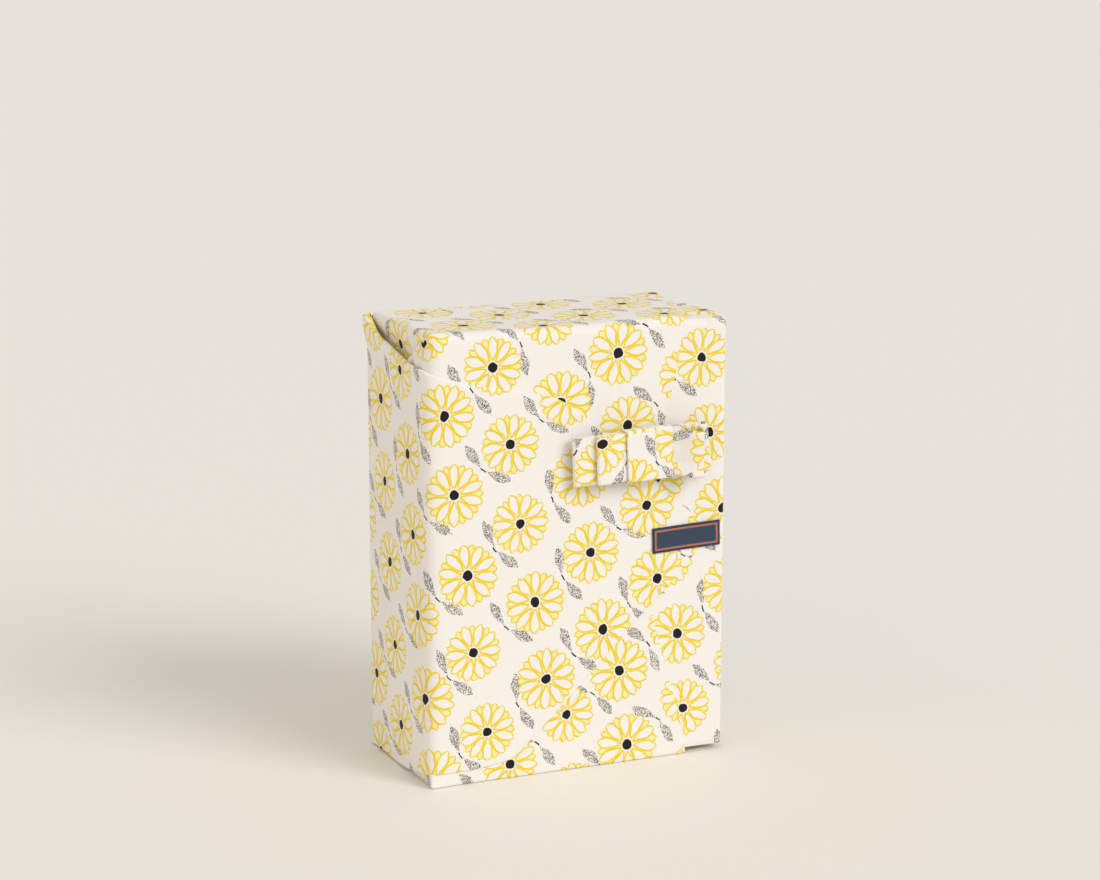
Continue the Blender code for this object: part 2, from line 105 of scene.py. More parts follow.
# A plan line through the stops with rounded corners: points, outward normals and distance.
def planPath(stops, radii, spacing):
    stops = [np.array(stop) for stop in stops]
    points, normals = [], []
    begin = stops[0]
    for i in range(1, len(stops)):
        way = stops[i] - stops[i - 1]
        way = way / np.linalg.norm(way)
        normal = np.array([way[1], -way[0]])
        radius = radii[i - 1] if i < len(stops) - 1 else 0
        end = stops[i] - way * radius
        count = max(int(np.linalg.norm(end - begin) / spacing[i - 1]), 2)
        for t in np.linspace(0, 1, count + 1)[: -1 if radius else None]:
            points.append(begin * (1 - t) + end * t)
            normals.append(normal)
        if radius:
            onward = stops[i + 1] - stops[i]
            onward = onward / np.linalg.norm(onward)
            after = np.array([onward[1], -onward[0]])
            centre = end - normal * radius
            for t in np.linspace(0, quarter, 11)[:-1]:
                turned = normal * math.cos(t) + after * math.sin(t)
                points.append(centre + turned * radius)
                normals.append(turned)
            begin = stops[i] + onward * radius
        else:
            begin = end
    points, normals = np.array(points), np.array(normals)
    return points, normals, distances(*points.T)


# The belt of cloth round the back: the right corner, folded in first, runs round the right side to
# the front, and the left corner, folded in last, runs round the left side over everything.
belt = {
    "stops": [(-0.0826, -0.0450), (0.066, -0.0450), (0.0921, -0.0450), (0.0921, -0.026),
              (0.0921, 0.0453), (-0.0903, 0.0453), (-0.0903, -0.0470), (0.0843, -0.0470)],
    "radii": [0, 0.0030, 0, 0.0030, 0.0030, 0.0060],
    "spacing": [0.0034, 0.0011, 0.0011, 0.0030, 0.0034, 0.0024, 0.0027],
    "rows": 80,
    "rollRows": 7,
    "turnRows": 4,
    # Height of the left corner's upper edge by distance round from the rear: fold, turn, raw edge.
    "top": [(0.000, 0.2543), (0.005, 0.2542), (0.0095, 0.2522), (0.015, 0.2480), (0.0200, 0.2456),
            (0.0261, 0.2441), (0.0382, 0.2415), (0.048, 0.2396), (0.0637, 0.2370), (0.0732, 0.2360),
            (0.0867, 0.2354), (0.0905, 0.2346), (0.0971, 0.2323), (0.1075, 0.2293), (0.1186, 0.2263),
            (0.1397, 0.2222), (0.1614, 0.2178), (0.1695, 0.2146), (0.175, 0.2112), (0.1822, 0.2052),
            (0.1938, 0.1947), (0.227, 0.1650), (0.2395, 0.1530), (0.251, 0.1424), (0.2651, 0.1290)],
    "base": [(0.000, 0.0012), (0.050, 0.0012), (0.068, 0.0036), (0.084, 0.0074), (0.094, 0.0084),
             (0.1155, 0.0083), (0.136, 0.0105), (0.1415, 0.0120), (0.148, 0.0180), (0.1704, 0.0390),
             (0.195, 0.0622), (0.220, 0.0862), (0.2325, 0.0970), (0.254, 0.1180), (0.2651, 0.1284)],
    # Where each of those folds gives way to the cloth's hemmed edge.
    "foldEnds": (0.176, 0.144),
    # Radius of the roll along its upper edge: fat at the rear, tight at the front.
    "topRoll": [(0.000, 0.0020), (0.0095, 0.0021), (0.025, 0.0016), (0.050, 0.0012), (0.085, 0.0010),
                (0.110, 0.0008), (0.135, 0.0006), (0.30, 0.0006)],
    # The right corner's tip in x and z, and the rise of its two hems from there.
    "rightTip": (-0.0826, 0.1287),
    "hemSlope": 0.94,
    # The right corner's cloth bends over the top edge, and its edge lies this far in by place along.
    "bend": 0.0025,
    "over": [(0.050, 0.0), (0.058, 0.0135), (0.0717, 0.0150), (0.0762, 0.0144), (0.0800, 0.0122),
             (0.0832, 0.0080), (0.0852, 0.0030), (0.0880, 0.0)],
    "sideOver": [(-0.0415, 0.0), (-0.0385, 0.0040), (-0.0355, 0.0075), (-0.0330, 0.0110),
                 (-0.0308, 0.0150), (-0.0296, 0.0215), (-0.022, 0.0225), (0.0011, 0.0140),
                 (0.0124, 0.0119), (0.030, 0.0088), (0.040, 0.0060), (0.046, 0.0)],
    "turnIn": 0.014,
    "hem": 0.0032,
}


def buildBelt(s):
    points, normals, travel = planPath(s["stops"], s["radii"], s["spacing"])
    x, y = points.T
    # The straight run across the back, between its two rounded corners.
    (rightX, backY), (leftX, _) = s["stops"][4:6]
    backStart = np.argmin(np.abs(x - rightX + s["radii"][3]) + np.abs(y - backY))
    backEnd = np.argmin(np.abs(x - leftX - s["radii"][4]) + np.abs(y - backY))
    middle = np.interp(0, -x[backStart : backEnd + 1], travel[backStart : backEnd + 1])
    across = travel - middle
    # Distance round from the rear on the left, as the tables of its edges have it.
    q = 0.1355 - np.maximum(y, -0.0455) + x
    isLeft = np.arange(len(x)) > backEnd
    isRight = np.arange(len(x)) < backStart
    # The right corner runs to its tip along two straight hems.
    tipX, tipZ = s["rightTip"]
    reach = np.clip(s["hemSlope"] * (x - tipX), 0, None) + 0.0006
    top = np.where(isLeft, curveThrough(s["top"], q), backArc[1])
    base = np.where(isLeft, curveThrough(s["base"], q), height - backArc[1])
    # On the right, heights above the bend are lengths of cloth that go over the edge.
    radius = s["bend"]
    crest = height - 0.0014 - 0.0010 * smoothStep((y + 0.002) / 0.026)
    crest = crest - 0.0004 * smoothStep((-0.015 - y) / 0.02)
    crest = crest - 0.0013 * (1 - smoothStep((y + 0.0449) / 0.006))
    onSide = x > 0.0920
    over = np.where(onSide, curveThrough(s["sideOver"], y, 0.0012), curveThrough(s["over"], x, 0.0012))
    rightTop = crest - radius + radius * quarter + over
    rightTop = backArc[1] + (rightTop - backArc[1]) * smoothStep((0.0425 - y) / 0.012)
    rightBase = 0.0035 + 0.0020 * smoothStep((y - 0.030) / 0.012)
    top = np.where(isRight, np.minimum(rightTop, tipZ + reach), top)
    base = np.where(isRight, np.maximum(rightBase, tipZ - reach), base)
    turn = {}
    for name, foldEnd in (("top", s["foldEnds"][0]), ("base", s["foldEnds"][1])):
        grown = smoothStep(q / 0.02) * s["turnIn"]
        fades = smoothStep((q - foldEnd + 0.012) / 0.012)
        width = np.where(isLeft, grown * (1 - fades) + s["hem"] * fades, 0.0)
        width = np.where(isLeft, np.minimum(width, 0.35 * (top - base)), width)
        turn[name] = np.where(isRight, np.minimum(0.006, 0.4 * (top - base)), width) + 0.00005
    along = travel - travel[backEnd]
    begins = smoothStep((along + 0.001) / 0.006)
    rolls = {
        "top": np.where(isLeft, curveThrough(s["topRoll"], q, 0.002) * begins,
                        isRight * (0.0004 + 0.0003 * onSide)) + 0.00001,
        "base": np.where(isLeft, 0.0006 * smoothStep(q / 0.012), isRight * 0.0004) + 0.00001,
    }
    fat = begins * (1 - smoothStep((along - 0.006) / 0.045)) * isLeft
    pocket = np.where(isLeft, smoothStep(q / 0.03) * (1 - smoothStep((q - 0.075) / 0.05)), 0)
    bend = np.linspace(0, math.pi, s["rollRows"])
    strip = np.linspace(1, 0, s["turnRows"] + 1)[:-1]
    face = np.concatenate([np.linspace(0, 0.13, 25)[:-1], np.linspace(0.13, 1, s["rows"] - 24)])
    off, z, flatZ = [], [], []
    for name, edge, sign in (("top", top, 1), ("base", base, -1)):
        roll = rolls[name][:, None]
        width = turn[name][:, None]
        middleZ = edge[:, None] - sign * roll
        off.append(np.concatenate([-2 * roll + 0 * strip, roll * (-1 - np.cos(bend))], axis=1))
        z.append(middleZ + sign * np.concatenate([-width * strip, roll * np.sin(bend)], axis=1))
        flatZ.append(middleZ + sign * np.concatenate(
            [math.pi * roll + width * strip, roll * (math.pi - bend)], axis=1))
    low = base + rolls["base"]
    high = top - rolls["top"]
    faceZ = high[:, None] + (low - high)[:, None] * face[1:-1]
    zAll = np.concatenate([z[0], faceZ, z[1][:, ::-1]], axis=1)
    offAll = np.concatenate([off[0], 0 * faceZ, off[1][:, ::-1]], axis=1)
    flatAll = np.concatenate([flatZ[0], faceZ, flatZ[1][:, ::-1]], axis=1)
    # The left corner's cloth sinks towards its tip, and stands off round the open pocket.
    onFront = isLeft & (y < -0.033)
    depth = np.where(onFront[:, None], settle(x[:, None]), 0)
    stand = 0.0012 * pocket[:, None] * smoothStep((zAll - top[:, None] + 0.030) / 0.030)
    stand += 0.0030 * fat[:, None] * smoothStep((zAll - 0.230) / 0.021)
    # The right corner's cloth bulges a little below the top edge at the front.
    bulge = (isRight * smoothStep((-0.012 - y) / 0.02))[:, None]
    stand += 0.0007 * bulge * smoothStep((zAll - crest[:, None] + 0.014) / 0.010)
    offAll = offAll - depth + stand
    past = np.where(isRight[:, None], np.maximum(zAll - crest[:, None] + radius, 0), 0)
    lean = np.minimum(past / radius, quarter)
    inward = radius - (radius + offAll) * np.cos(lean) + np.maximum(past - radius * quarter, 0)
    bentZ = crest[:, None] - radius + (radius + offAll) * np.sin(lean)
    grid = np.empty((*zAll.shape, 3))
    grid[..., :2] = points[:, None] - normals[:, None] * np.where(past > 0, inward, -offAll)[..., None]
    grid[..., 2] = np.where(past > 0, bentZ, zAll)
    flat = np.stack([across[:, None] + 0 * zAll, flatAll], axis=2)
    return grid, flat


# How far the outermost layer lies back from its plane at the left, by place across the front.
def settle(x):
    return 0.0008 * smoothStep((x + 0.005) / 0.05) + 0.0009 * smoothStep((x - 0.046) / 0.024)


# The top and bottom corners of the square: over the edge, and on to the front.
flaps = {
    "top": {
        "foldOnEnd": [(-0.0440, 0.0650), (-0.041, 0.0664), (-0.022, 0.0738), (0.0011, 0.0821),
                      (0.0124, 0.0842), (0.030, 0.0873), (0.043, 0.0891), (0.045, 0.0891)],
        "foldOnFront": [(0.110, 0.030), (0.1680, 0.0470), (0.1946, 0.0520), (0.2070, 0.0550),
                        (0.2210, 0.0590), (0.2470, 0.0635), (0.2567, 0.0650)],
        "dart": [(-0.050, 0.2520), (-0.045, 0.2520), (-0.037, 0.2500), (-0.026, 0.2437),
                 (-0.017, 0.2377), (-0.0107, 0.2328), (0.010, 0.2150)],
        "reach": 0.118,
        "gusset": 0.040,
        "side": (0.0033, 0.0035),
        "sunk": (0.0022, 0.012),
        "front": (-0.0405, height - 0.0056, 0.0053),
        "corner": 1.0,
    },
    "base": {
        "foldOnEnd": [(-0.0440, 0.0665), (-0.041, 0.0675), (-0.022, 0.0740), (0.005, 0.0855),
                      (0.016, 0.0880), (0.030, 0.0891), (0.045, 0.0891)],
        "foldOnFront": [(height - z, x) for z, x in [
            (0.1320, 0.0330), (0.0940, 0.0439), (0.0900, 0.0446), (0.0580, 0.0530),
            (0.0320, 0.0610), (0.0105, 0.0669), (0.0026, 0.0677), (-0.0017, 0.0680)]],
        "dart": [(-0.028, 0.2545), (-0.020, 0.2480), (0.010, 0.2320)],
        "reach": 0.130,
        "gusset": 0.020,
        "side": (0.0045, 0.0014),
        "sunk": (0.0009, 0.002),
        "front": (-0.0446, height - 0.0015, 0.0012),
        "corner": 0.35,
    },
}
backArc = (0.0415, height - 0.0038, 0.0038, 0.0035)
edgeX = -0.0840
cornerX = 0.0891
# Round the left edge in plan, where the front's cloth goes on to the side.
sideRadius = 0.0045


# The flap as if it were the top one: the caller turns the bottom one over.
def buildFlap(s, columnX):
    steps = np.linspace(0, quarter, 9)
    cy, cz, ry, rz = backArc
    fy, fz, fry = s["front"]
    # Parts: 0 the rear bend, 1 the end of the box, 2 the front bend, 3 the front.
    rows = [(cy + ry * math.cos(a), cz + rz * math.sin(a), 0.0) for a in steps]
    rows += [(cy + (fy - cy) * t, cz + rz, 1.0) for t in np.linspace(0, 1, 33)[1:]]
    rows += [(fy - fry * math.sin(a), fz + fry * math.cos(a), 2.0) for a in steps[1:]]
    rows += [(fy - fry, fz - s["reach"] * t, 3.0) for t in np.linspace(0, 1, 45)[1:]]
    y, z, part = np.array(rows).T
    travel = distances(y, z)
    onEnd = curveThrough(s["foldOnEnd"], y, 0.002)
    onFront = curveThrough(s["foldOnFront"], z, 0.003)
    right = np.where(part < 2, onEnd, onFront)
    right[part == 2] = np.linspace(onEnd[part == 1][-1], onFront[part == 3][0], len(steps))[1:]
    share = (columnX - columnX[0]) / (columnX[-1] - columnX[0])
    x = edgeX + (right[:, None] - edgeX) * share
    start = columnX[0] + (columnX[-1] - columnX[0]) * share
    blend = smoothStep(travel / 0.008)[:, None]
    x = start * (1 - blend) + x * blend
    normalY = np.where(part == 3, -1.0, 0.0)
    normalZ = np.where(part == 1, 1.0, 0.0)
    arcs = (part == 0) | (part == 2)
    centreY = np.where(part == 0, cy, fy)
    centreZ = np.where(part == 0, cz, fz)
    normalY[arcs] = ((y - centreY) / np.where(part == 0, ry, fry))[arcs]
    normalZ[arcs] = ((z - centreZ) / np.where(part == 0, rz, fry))[arcs]
    # The fold on the right: a small roll, and a strip of cloth turned in under the flap.
    radius = 0.00040 * smoothStep((travel - 0.004) / 0.012)[:, None] + 0.00001
    bend = np.linspace(0, math.pi, 6)[1:]
    strip = np.linspace(0, 1, 5)[1:]
    width = 0.012 * smoothStep((travel - 0.004) / 0.03)[:, None] + 0.00005
    lastX = x[:, -1:]
    rollX = np.concatenate([lastX + radius * np.sin(bend), lastX - width * strip], axis=1)
    rollOff = np.concatenate([-radius * (1 - np.cos(bend)), -2 * radius + 0 * strip], axis=1)
    rollFlat = np.concatenate([lastX + radius * bend, lastX + radius * math.pi + width * strip], axis=1)
    allX = np.concatenate([x, rollX], axis=1)
    allOff = np.concatenate([0 * x, rollOff], axis=1)
    flatX = np.concatenate([x, rollFlat], axis=1)
    grid = np.empty((*allX.shape, 3))
    grid[..., 0] = allX
    grid[..., 1] = y[:, None] + normalY[:, None] * allOff
    grid[..., 2] = z[:, None] + normalZ[:, None] * allOff
    flat = np.stack([-flatX, backArc[1] + travel[:, None] + 0 * flatX], axis=2)
    return [(grid, flat), sideRoll(s, y, z, part, travel), dartSheet(s, z, part, travel)]


# Cloth that the flap rolls over the left edge, and the rounded corner at its front end.
def sideRoll(s, y, z, part, travel):
    onTop = part <= 1
    angles = np.linspace(0, quarter, 9)
    fy, fz, fry = s["front"]
    planY = np.concatenate([y[onTop], np.full(8, fy)])
    turn = np.concatenate([np.zeros(onTop.sum()), angles[1:]])
    flatY = np.concatenate([travel[onTop], np.full(8, travel[onTop][-1])])[:, None]
    # The left edge's radii turn into those of the front's corner.
    share = smoothStep((fy + 0.006 - planY) / 0.006)[:, None]
    side, tall = s["side"]
    side = side + (sideRadius - side) * share
    tall = tall + (fry - tall) * share
    top = np.concatenate([z[onTop], np.full(8, z[onTop][-1])])[:, None]
    rise = np.minimum(tall, np.maximum(top - height + 0.0075, 0.0004))
    lean = angles[None, :]
    fall = np.linspace(0, 1, 14)[1:][None, :]
    length = s["gusset"] * (1 - smoothStep(turn / 1.2))[:, None] + 0.004
    sunk, within = s["sunk"]
    inward = sunk * smoothStep(length * fall / within)
    inward = inward + 0.0007 * smoothStep(fall * 6) * (turn > 0)[:, None]
    inward = np.concatenate([0 * (lean + top), inward], axis=1)
    reach = np.concatenate([np.sin(lean) + 0 * top, 1 + 0 * (fall + top)], axis=1)
    zz = np.concatenate([top - rise * (1 - np.cos(lean)), top - rise - length * fall], axis=1)
    acrossPart = (np.cos(turn) ** s["corner"])[:, None]
    forwardPart = (np.sin(turn) ** s["corner"])[:, None]
    grid = np.empty((*reach.shape, 3))
    grid[..., 0] = edgeX - (side * reach - inward) * acrossPart
    grid[..., 1] = planY[:, None] - (fry * reach - inward) * forwardPart
    grid[..., 2] = zz
    # Flat places fan out round the corner, so the print runs on across it.
    awayX = np.concatenate([side * lean, side * quarter + length * fall], axis=1)
    awayY = np.concatenate([fry * lean + 0 * side, fry * quarter + length * fall], axis=1)
    flat = np.stack([-edgeX + awayX * np.cos(turn)[:, None],
                     backArc[1] + flatY + awayY * np.sin(turn)[:, None]], axis=2)
    return grid, flat


# The front's cloth carried round the left edge to a slanting fold on the side.
def dartSheet(s, z, part, travel):
    front = part == 3
    fy, fz, fry = s["front"]
    zz = np.concatenate([[fz], z[front]])
    flatZ = np.concatenate([[travel[part == 2][-1]], travel[front]])
    edgeY, edgeZ = np.array(s["dart"]).T
    fold = np.interp(-zz, -edgeZ, edgeY)
    fold = np.clip(fold, fy + 0.0006, 0.012)
    lean = np.linspace(0, quarter, 9)
    along = np.linspace(0, 1, 15)[1:]
    bend = np.linspace(0, math.pi, 6)[1:]
    strip = np.linspace(0, 1, 4)[1:]
    sideX, foldRadius = edgeX - sideRadius, 0.00035
    # A crisp corner at the end of the box, rounder away from it.
    power = s["corner"] + (1 - s["corner"]) * smoothStep((height - zz - 0.004) / 0.020)[:, None]
    rest = np.concatenate([0 * along, foldRadius * (1 - np.cos(bend)), 2 * foldRadius + 0 * strip])
    x = np.concatenate([edgeX - sideRadius * np.sin(lean) ** power, sideX + rest + 0 * power], axis=1)
    y = np.concatenate([fy - fry * np.abs(np.cos(lean)) ** power,
                        fy + (fold[:, None] - fy) * along,
                        fold[:, None] + foldRadius * np.sin(bend),
                        np.maximum(fold[:, None] - 0.008 * strip, fy)], axis=1)
    grid = np.empty((*x.shape, 3))
    grid[..., 0], grid[..., 1], grid[..., 2] = x, y, zz[:, None]
    step = np.hypot(np.diff(x, axis=1), np.diff(y, axis=1))
    travelX = np.concatenate([0 * zz[:, None], np.cumsum(step, axis=1)], axis=1)
    # Near the corner its flat places follow those that fan out round it.
    onBend = np.minimum(np.arange(x.shape[1]), len(lean) - 1)
    turned = lean[onBend][None, :]
    joined = (1 - smoothStep((fz - zz) / 0.012))[:, None]
    travelX = travelX + joined * (sideRadius * quarter * np.sin(turned) - travelX[:, onBend])
    flatUp = flatZ[:, None] - joined * fry * quarter * (1 - np.cos(turned))
    flat = np.stack([-edgeX + travelX, backArc[1] + flatUp + 0 * travelX], axis=2)
    return grid, flat


# The right corner's cloth where it lies on the end, under the flap and inside the belt.
def endCap():
    cy, cz = backArc[:2]
    fy, fry, frz = -0.0400, 0.0030, 0.0034
    plateZ, rollX, skirt = cz + 0.0016, 0.0870, 0.007
    steps = np.linspace(0, quarter, 7)
    low = np.linspace(0, 1, 4)[1:]
    rows = [(cy + 0.0030 * math.cos(a), cz - 0.0005 + 0.0021 * math.sin(a)) for a in steps]
    rows += [(cy + (fy - cy) * t, plateZ) for t in np.linspace(0, 1, 25)[1:]]
    onPlate = len(rows)
    rows += [(fy - fry * math.sin(a), plateZ - frz * (1 - math.cos(a))) for a in steps[1:]]
    rows += [(fy - fry, plateZ - frz - skirt * t) for t in low]
    y, z = np.array(rows).T
    travel = distances(y, z)
    x = np.linspace(0.030, rollX, 20)
    grid = np.empty((len(y), len(x), 3))
    grid[..., 0], grid[..., 1], grid[..., 2] = x, y[:, None], z[:, None]
    flat = np.stack([0.19 - x[None] + 0 * y[:, None], 0.30 + travel[:, None] + 0 * x[None]], axis=2)
    # Its roll over the right edge, with the rounded corner at the front.
    lean = np.linspace(0, quarter, 9)
    turn = np.concatenate([np.zeros(onPlate), lean[1:]])
    planY = np.concatenate([y[:onPlate], np.full(8, fy)])
    top = np.concatenate([z[:onPlate], np.full(8, plateZ)])
    wide = (0.0028 + 0.0002 * smoothStep(turn))[:, None]
    rise = np.minimum(frz, np.maximum(top - height + 0.0080, 0.0004))[:, None]
    out = wide * np.concatenate([np.sin(lean), np.ones(3)])
    fall = rise * np.concatenate([1 - np.cos(lean), np.ones(3)]) + skirt * np.concatenate([0 * lean, low])
    roll = np.empty((*out.shape, 3))
    roll[..., 0] = rollX + out * np.cos(turn)[:, None]
    roll[..., 1] = planY[:, None] - out * np.sin(turn)[:, None]
    roll[..., 2] = top[:, None] - fall
    down = wide * np.concatenate([lean, np.full(3, quarter)]) + skirt * np.concatenate([0 * lean, low])
    far = np.concatenate([travel[:onPlate], travel[onPlate - 1] + 0.003 * turn[onPlate:]])
    return [(grid, flat), (roll, np.stack([0.104 - down, 0.30 + far[:, None] + 0 * down], axis=2))]


# The same sheets upside down, for the bottom end, with their flat places turned too.
def turnedOver(sheets):
    made = []
    for grid, flat in sheets:
        low, under = grid.copy(), flat.copy()
        low[..., 2] = height - low[..., 2]
        under[..., 1] = height - under[..., 1]
        made.append((low, under))
    return made


# The panels belly and wave a little, every layer alike, and the base stays flat.
def relaxed(grid):
    x, y, z = grid[..., 0], grid[..., 1], grid[..., 2]
    up = z / height
    upright = smoothStep(up / 0.10) * np.sqrt(np.sin(math.pi * np.clip(up, 0, 1)))
    across = np.cos(math.pi * np.clip(x / 0.19, -0.5, 0.5))
    deep = np.cos(math.pi * np.clip(y / 0.10, -0.5, 0.5))
    moved = grid.copy()
    # The upright edge at the front left is softer, away from the base.
    near = np.maximum(x + 0.0903, 0) + np.maximum(y + 0.0470, 0)
    soft = 0.0011 * (1 - smoothStep((near - 0.003) / 0.0085)) * smoothStep((z - 0.012) / 0.05)
    moved[..., 0] += soft
    moved[..., 1] += soft
    # Its foot stands out a little to a crisp point.
    foot = (1 - smoothStep((near - 0.0025) / 0.02)) * (1 - smoothStep((z - 0.002) / 0.012))
    moved[..., 1] -= 0.0011 * foot
    moved[..., 0] -= 0.0005 * foot
    moved[..., 1] += upright * across * (0.0006 + 0.00022 * waves(x, z, 1)) * np.tanh(y / 0.02)
    moved[..., 0] += upright * deep * (0.0005 + 0.00025 * waves(y, z, 2)) * np.tanh(x / 0.04)
    sag = np.cos(math.pi * np.clip((x + 0.018) / 0.165, -0.5, 0.5)) ** 1.3 * (0.0011 + 0.0003 * deep)
    moved[..., 2] -= smoothStep((up - 0.7) / 0.3) * (sag + across * deep * 0.0003 * waves(x, y, 3))
    return moved


def buildWrap():
    columnX = np.linspace(edgeX, cornerX, 64)
    sheets = [buildBelt(belt)]
    sheets += buildFlap(flaps["top"], columnX)
    sheets += turnedOver(buildFlap(flaps["base"], columnX))
    sheets += endCap() + turnedOver(endCap())
    return gridMesh("wrapCloth", [(relaxed(g), f) for g, f in sheets], clothThickness)


# The bow: two loops of doubled strip, and the band that holds their middles flat. Its right ends
# are slightly open and skewed, as they were never pressed.
bow = {
    "centre": (0.0387, 0.1811),
    "tilt": math.radians(2.0),
    "back": -0.0516,
    "strip": 0.0274,
    "cloth": 0.0009,
    "loops": (
        {"name": "bowLowerLoop", "node": "bow_lower_loop", "ends": (-0.0448, 0.0382), "slant": 0.0011,
         "under": 0.0, "rise": (0.0016, 0.0028, 0.0030), "open": 0.0008, "drop": 0.0006,
         "print": (0.031, 0.012)},
        {"name": "bowUpperLoop", "node": "bow_upper_loop", "ends": (-0.0320, 0.0317), "slant": 0.0006,
         "under": 0.0013, "rise": (0.0014, 0.0025, 0.0036), "open": 0.0040, "drop": 0.0030,
         "print": (0.118, 0.046)},
    ),
    "band": {"width": 0.0281, "front": 0.0058, "back": -0.0010, "print": (0.214, 0.083)},
}


# A grid in the row frame from places along the bow, up it and out from its back.
def bowPoint(s, along, up, out):
    cx, cz = s["centre"]
    cosT, sinT = math.cos(s["tilt"]), math.sin(s["tilt"])
    x = cx + along * cosT - up * sinT
    z = cz + along * sinT + up * cosT
    return np.stack([x, s["back"] - out + 0 * along, z], axis=-1)


# The space between a loop's back and front layers: tight at the band, fuller to its ends.
def loopRise(s, loop, along, up):
    tight, left, right = loop["rise"]
    reach = smoothStep((np.abs(along) - 0.0130) / 0.014)
    high = np.clip(up / s["strip"] + 0.5, 0, 1)
    full = np.where(along < 0, left, right + loop["open"] * high ** 1.4)
    return tight + (full - tight) * reach


# One loop of strip: its back layer, the turn at each end and its front layer.
def buildLoop(s, loop, inner):
    up = np.linspace(-s["strip"] / 2, s["strip"] / 2, 19)[:, None]
    left, right = loop["ends"]
    blunt = 0.0011
    endRight = right - loop["slant"] * 2 * up / s["strip"] - blunt
    endLeft = left + blunt
    share = np.linspace(0, 1, 91)[None, :]
    backAlong = endLeft + (endRight - endLeft) * share
    turn = np.linspace(0, math.pi, 13)[1:-1][None, :]
    rise = loopRise(s, loop, backAlong, up)
    ground = loop["under"] + (loopRise(s, inner, backAlong, up) if inner else 0) + 0 * rise
    gone = (1 - np.cos(turn)) / 2
    along = np.concatenate([backAlong, endRight + blunt * np.sin(turn), backAlong[:, ::-1],
                            endLeft - blunt * np.sin(turn) + 0 * up, backAlong[:, :1]], axis=1)
    out = np.concatenate([ground, ground[:, -1:] + rise[:, -1:] * gone, (ground + rise)[:, ::-1],
                          ground[:, :1] + rise[:, :1] * (1 - gone), ground[:, :1]], axis=1)
    # 0 on the back layer and 1 on the front one.
    front = np.concatenate([0 * backAlong, gone + 0 * up, 0 * backAlong + 1, 1 - gone + 0 * up,
                            0 * up], axis=1)
    towardRight = smoothStep((along - 0.0135) / 0.018)
    upNow = up - loop["drop"] * front * towardRight
    # Soft puckers run out from under the band.
    far = np.abs(along)
    near = np.exp(-np.maximum(far - 0.0135, 0) / 0.008) * smoothStep((far - 0.0125) / 0.004)
    pucker = np.sin(up * 2 * math.pi / 0.0105 + 1.2 + 30 * along) * near
    uneven = waves(along * 1.3, up + loop["under"] * 9, 5) * (far > 0.014)
    out = out + front * (0.00034 * pucker + 0.00014 * uneven)
    grid = bowPoint(s, along, upNow, out)
    step = np.hypot(np.diff(along, axis=1), np.diff(out, axis=1))
    travel = np.concatenate([np.zeros((len(up), 1)), np.cumsum(step, axis=1)], axis=1)
    u0, v0 = loop["print"]
    flat = np.stack([u0 + travel, v0 + up + 0 * travel], axis=2)
    return gridMesh(loop["name"], [(relaxed(grid), flat)], s["cloth"])


# The band round the loops: a ring of strip, seen from its end as a flattened oblong.
def buildBand(s):
    band = s["band"]
    top, front, back = s["strip"] / 2 + 0.0006, band["front"], band["back"]
    corner, finer = 0.0011, 6
    bend = np.linspace(0, quarter, 6)
    up, out = [], []
    for upSign, outEnd, order in ((1, front, 0), (1, back, 1), (-1, back, 0), (-1, front, 1)):
        inward = -1 if outEnd == front else 1
        first, second = (np.sin(bend), np.cos(bend)) if order == 0 else (np.cos(bend), np.sin(bend))
        up.append(upSign * (top - corner + corner * first))
        out.append(outEnd + inward * corner * (1 - second))
    up, out = np.concatenate(up), np.concatenate(out)
    up, out = np.append(up, up[0]), np.append(out, out[0])
    number = np.arange(len(up))
    fine = np.linspace(0, number[-1], finer * number[-1] + 1)
    up, out = np.interp(fine, number, up), np.interp(fine, number, out)
    along = np.linspace(-0.5, 0.5, 25)[:, None] * band["width"]
    uneven = 0.00012 * waves(along, up, 6) * (out > 0.003)
    grid = bowPoint(s, along + 0 * up, up + 0 * along, out + uneven)
    travel = distances(up, out)
    u0, v0 = band["print"]
    flat = np.stack([u0 + along + 0 * travel, v0 + travel + 0 * along], axis=2)
    return gridMesh("bowBand", [(relaxed(grid), flat)], s["cloth"])


# The woven label over the outer corner's tip.
label = {
    "size": (0.0430, 0.0145),
    "centre": (0.0670, 0.1290),
    "tilt": math.radians(1.4),
    "cloth": 0.0006,
    "field": "#223650",
    # Border lines from the inside out: each reaches from the edge to this far in.
    "borders": ((0.0026, "#6f6a55"), (0.0022, "#c0674f"), (0.0014, "#1c2b49")),
}


def buildLabel(s):
    wide, tall = s["size"]
    along = np.linspace(-0.5, 0.5, 44)[:, None] * wide
    up = np.linspace(-0.5, 0.5, 16)[None, :] * tall
    cx, cz = s["centre"]
    x = cx + along * math.cos(s["tilt"]) - up * math.sin(s["tilt"])
    z = cz + along * math.sin(s["tilt"]) + up * math.cos(s["tilt"])
    y = -0.0478 + settle(x) + 0.00005 * waves(x * 2, z * 2, 4)
    grid = np.stack([x, y, z], axis=2)
    flat = np.stack([along + 0 * up, up + 0 * along], axis=2)
    return gridMesh("wovenLabel", [(relaxed(grid), flat)], s["cloth"])


# Adds a shader node, fills its inputs in order with numbers or sockets, and gives one output.
def addNode(tree, kind, *values, out=0, **settings):
    node = tree.nodes.new("ShaderNode" + kind)
    for key, value in settings.items():
        setattr(node, key, value)
    for socket, value in zip(node.inputs, values):
        if isinstance(value, bpy.types.NodeSocket):
            tree.links.new(value, socket)
        elif value is not None:
            socket.default_value = value
    return node.outputs[out]


# Adds one Math node and gives its output.
def calc(tree, operation, *values, **settings):
    return addNode(tree, "Math", *values, operation=operation, **settings)


